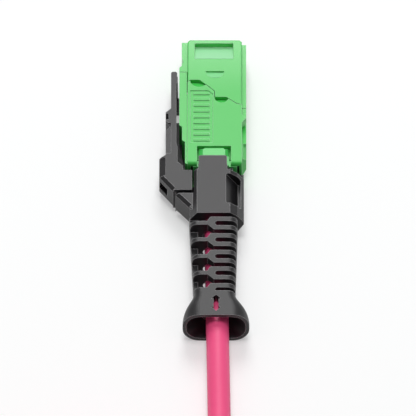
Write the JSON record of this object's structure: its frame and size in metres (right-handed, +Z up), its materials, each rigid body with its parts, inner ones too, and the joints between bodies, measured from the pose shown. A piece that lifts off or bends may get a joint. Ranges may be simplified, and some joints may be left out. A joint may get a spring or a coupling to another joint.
{
  "type": "fibre breakout cable",
  "caption": "Slim push-pull multi-fibre plug with slotted boot and side key on a round cable that splits into tails with push-on plugs",
  "frame": {"origin": "on the flat underside, on the plug's long axis, half way along the plug's length", "axes": "+X across the broad side, away from the side key; +Y along the plug towards the ferrule; +Z up"},
  "size_m": [0.0439, 0.1083, 0.0106],
  "materials": {
    "green_plastic": "moulded, satin",
    "block_plastic": "moulded, satin",
    "inner_plastic": "moulded, satin",
    "ferrule_plastic": "ground face",
    "soft_rubber": "soft moulded",
    "spring_steel": "drawn wire",
    "fibre_coating": "clear coated",
    "crimp_metal": "turned and pressed",
    "black_plastic": "fine moulded texture",
    "pink_jacket": "extruded, smooth",
    "white_ceramic": "ground"
  },
  "bodies": {
    "plug": {"nose_housing": "green_plastic", "inner_housing": "inner_plastic", "crimp_body": "inner_plastic", "crimp_ring": "crimp_metal", "ferrule_spring": "spring_steel", "return_spring": "spring_steel", "cable": "pink_jacket", "cable_coil": "pink_jacket", "cable_tail": "pink_jacket", "coil_ties": "black_plastic", "breakout_body": "black_plastic", "leg_1": "pink_jacket", "leg_1_plug": "green_plastic", "leg_1_ferrule": "white_ceramic", "leg_1_boot": "black_plastic", "leg_2": "pink_jacket", "leg_2_plug": "green_plastic", "leg_2_ferrule": "white_ceramic", "leg_2_boot": "black_plastic"},
    "release": {"release_sleeve": "green_plastic", "boot_coupler": "block_plastic", "push_pull_boot": "black_plastic", "polarity_key": "black_plastic"},
    "float": {"ferrule": "ferrule_plastic", "ferrule_boot": "soft_rubber", "spring_seat": "inner_plastic", "fibre_bundle": "fibre_coating"}
  },
  "joints": [
    {"name": "boot_pull", "type": "slide", "parent": "plug", "child": "release", "axis": [0, -1, 0], "range_m": [0, 0.0012], "stiffness_N_per_m": 600, "springref_m": -0.0015, "deforming": ["return_spring"]},
    {"name": "ferrule_float", "type": "slide", "parent": "plug", "child": "float", "axis": [0, -1, 0], "range_m": [0, 0.0004], "stiffness_N_per_m": 600, "springref_m": -0.003, "deforming": ["ferrule_spring"]}
  ]
}
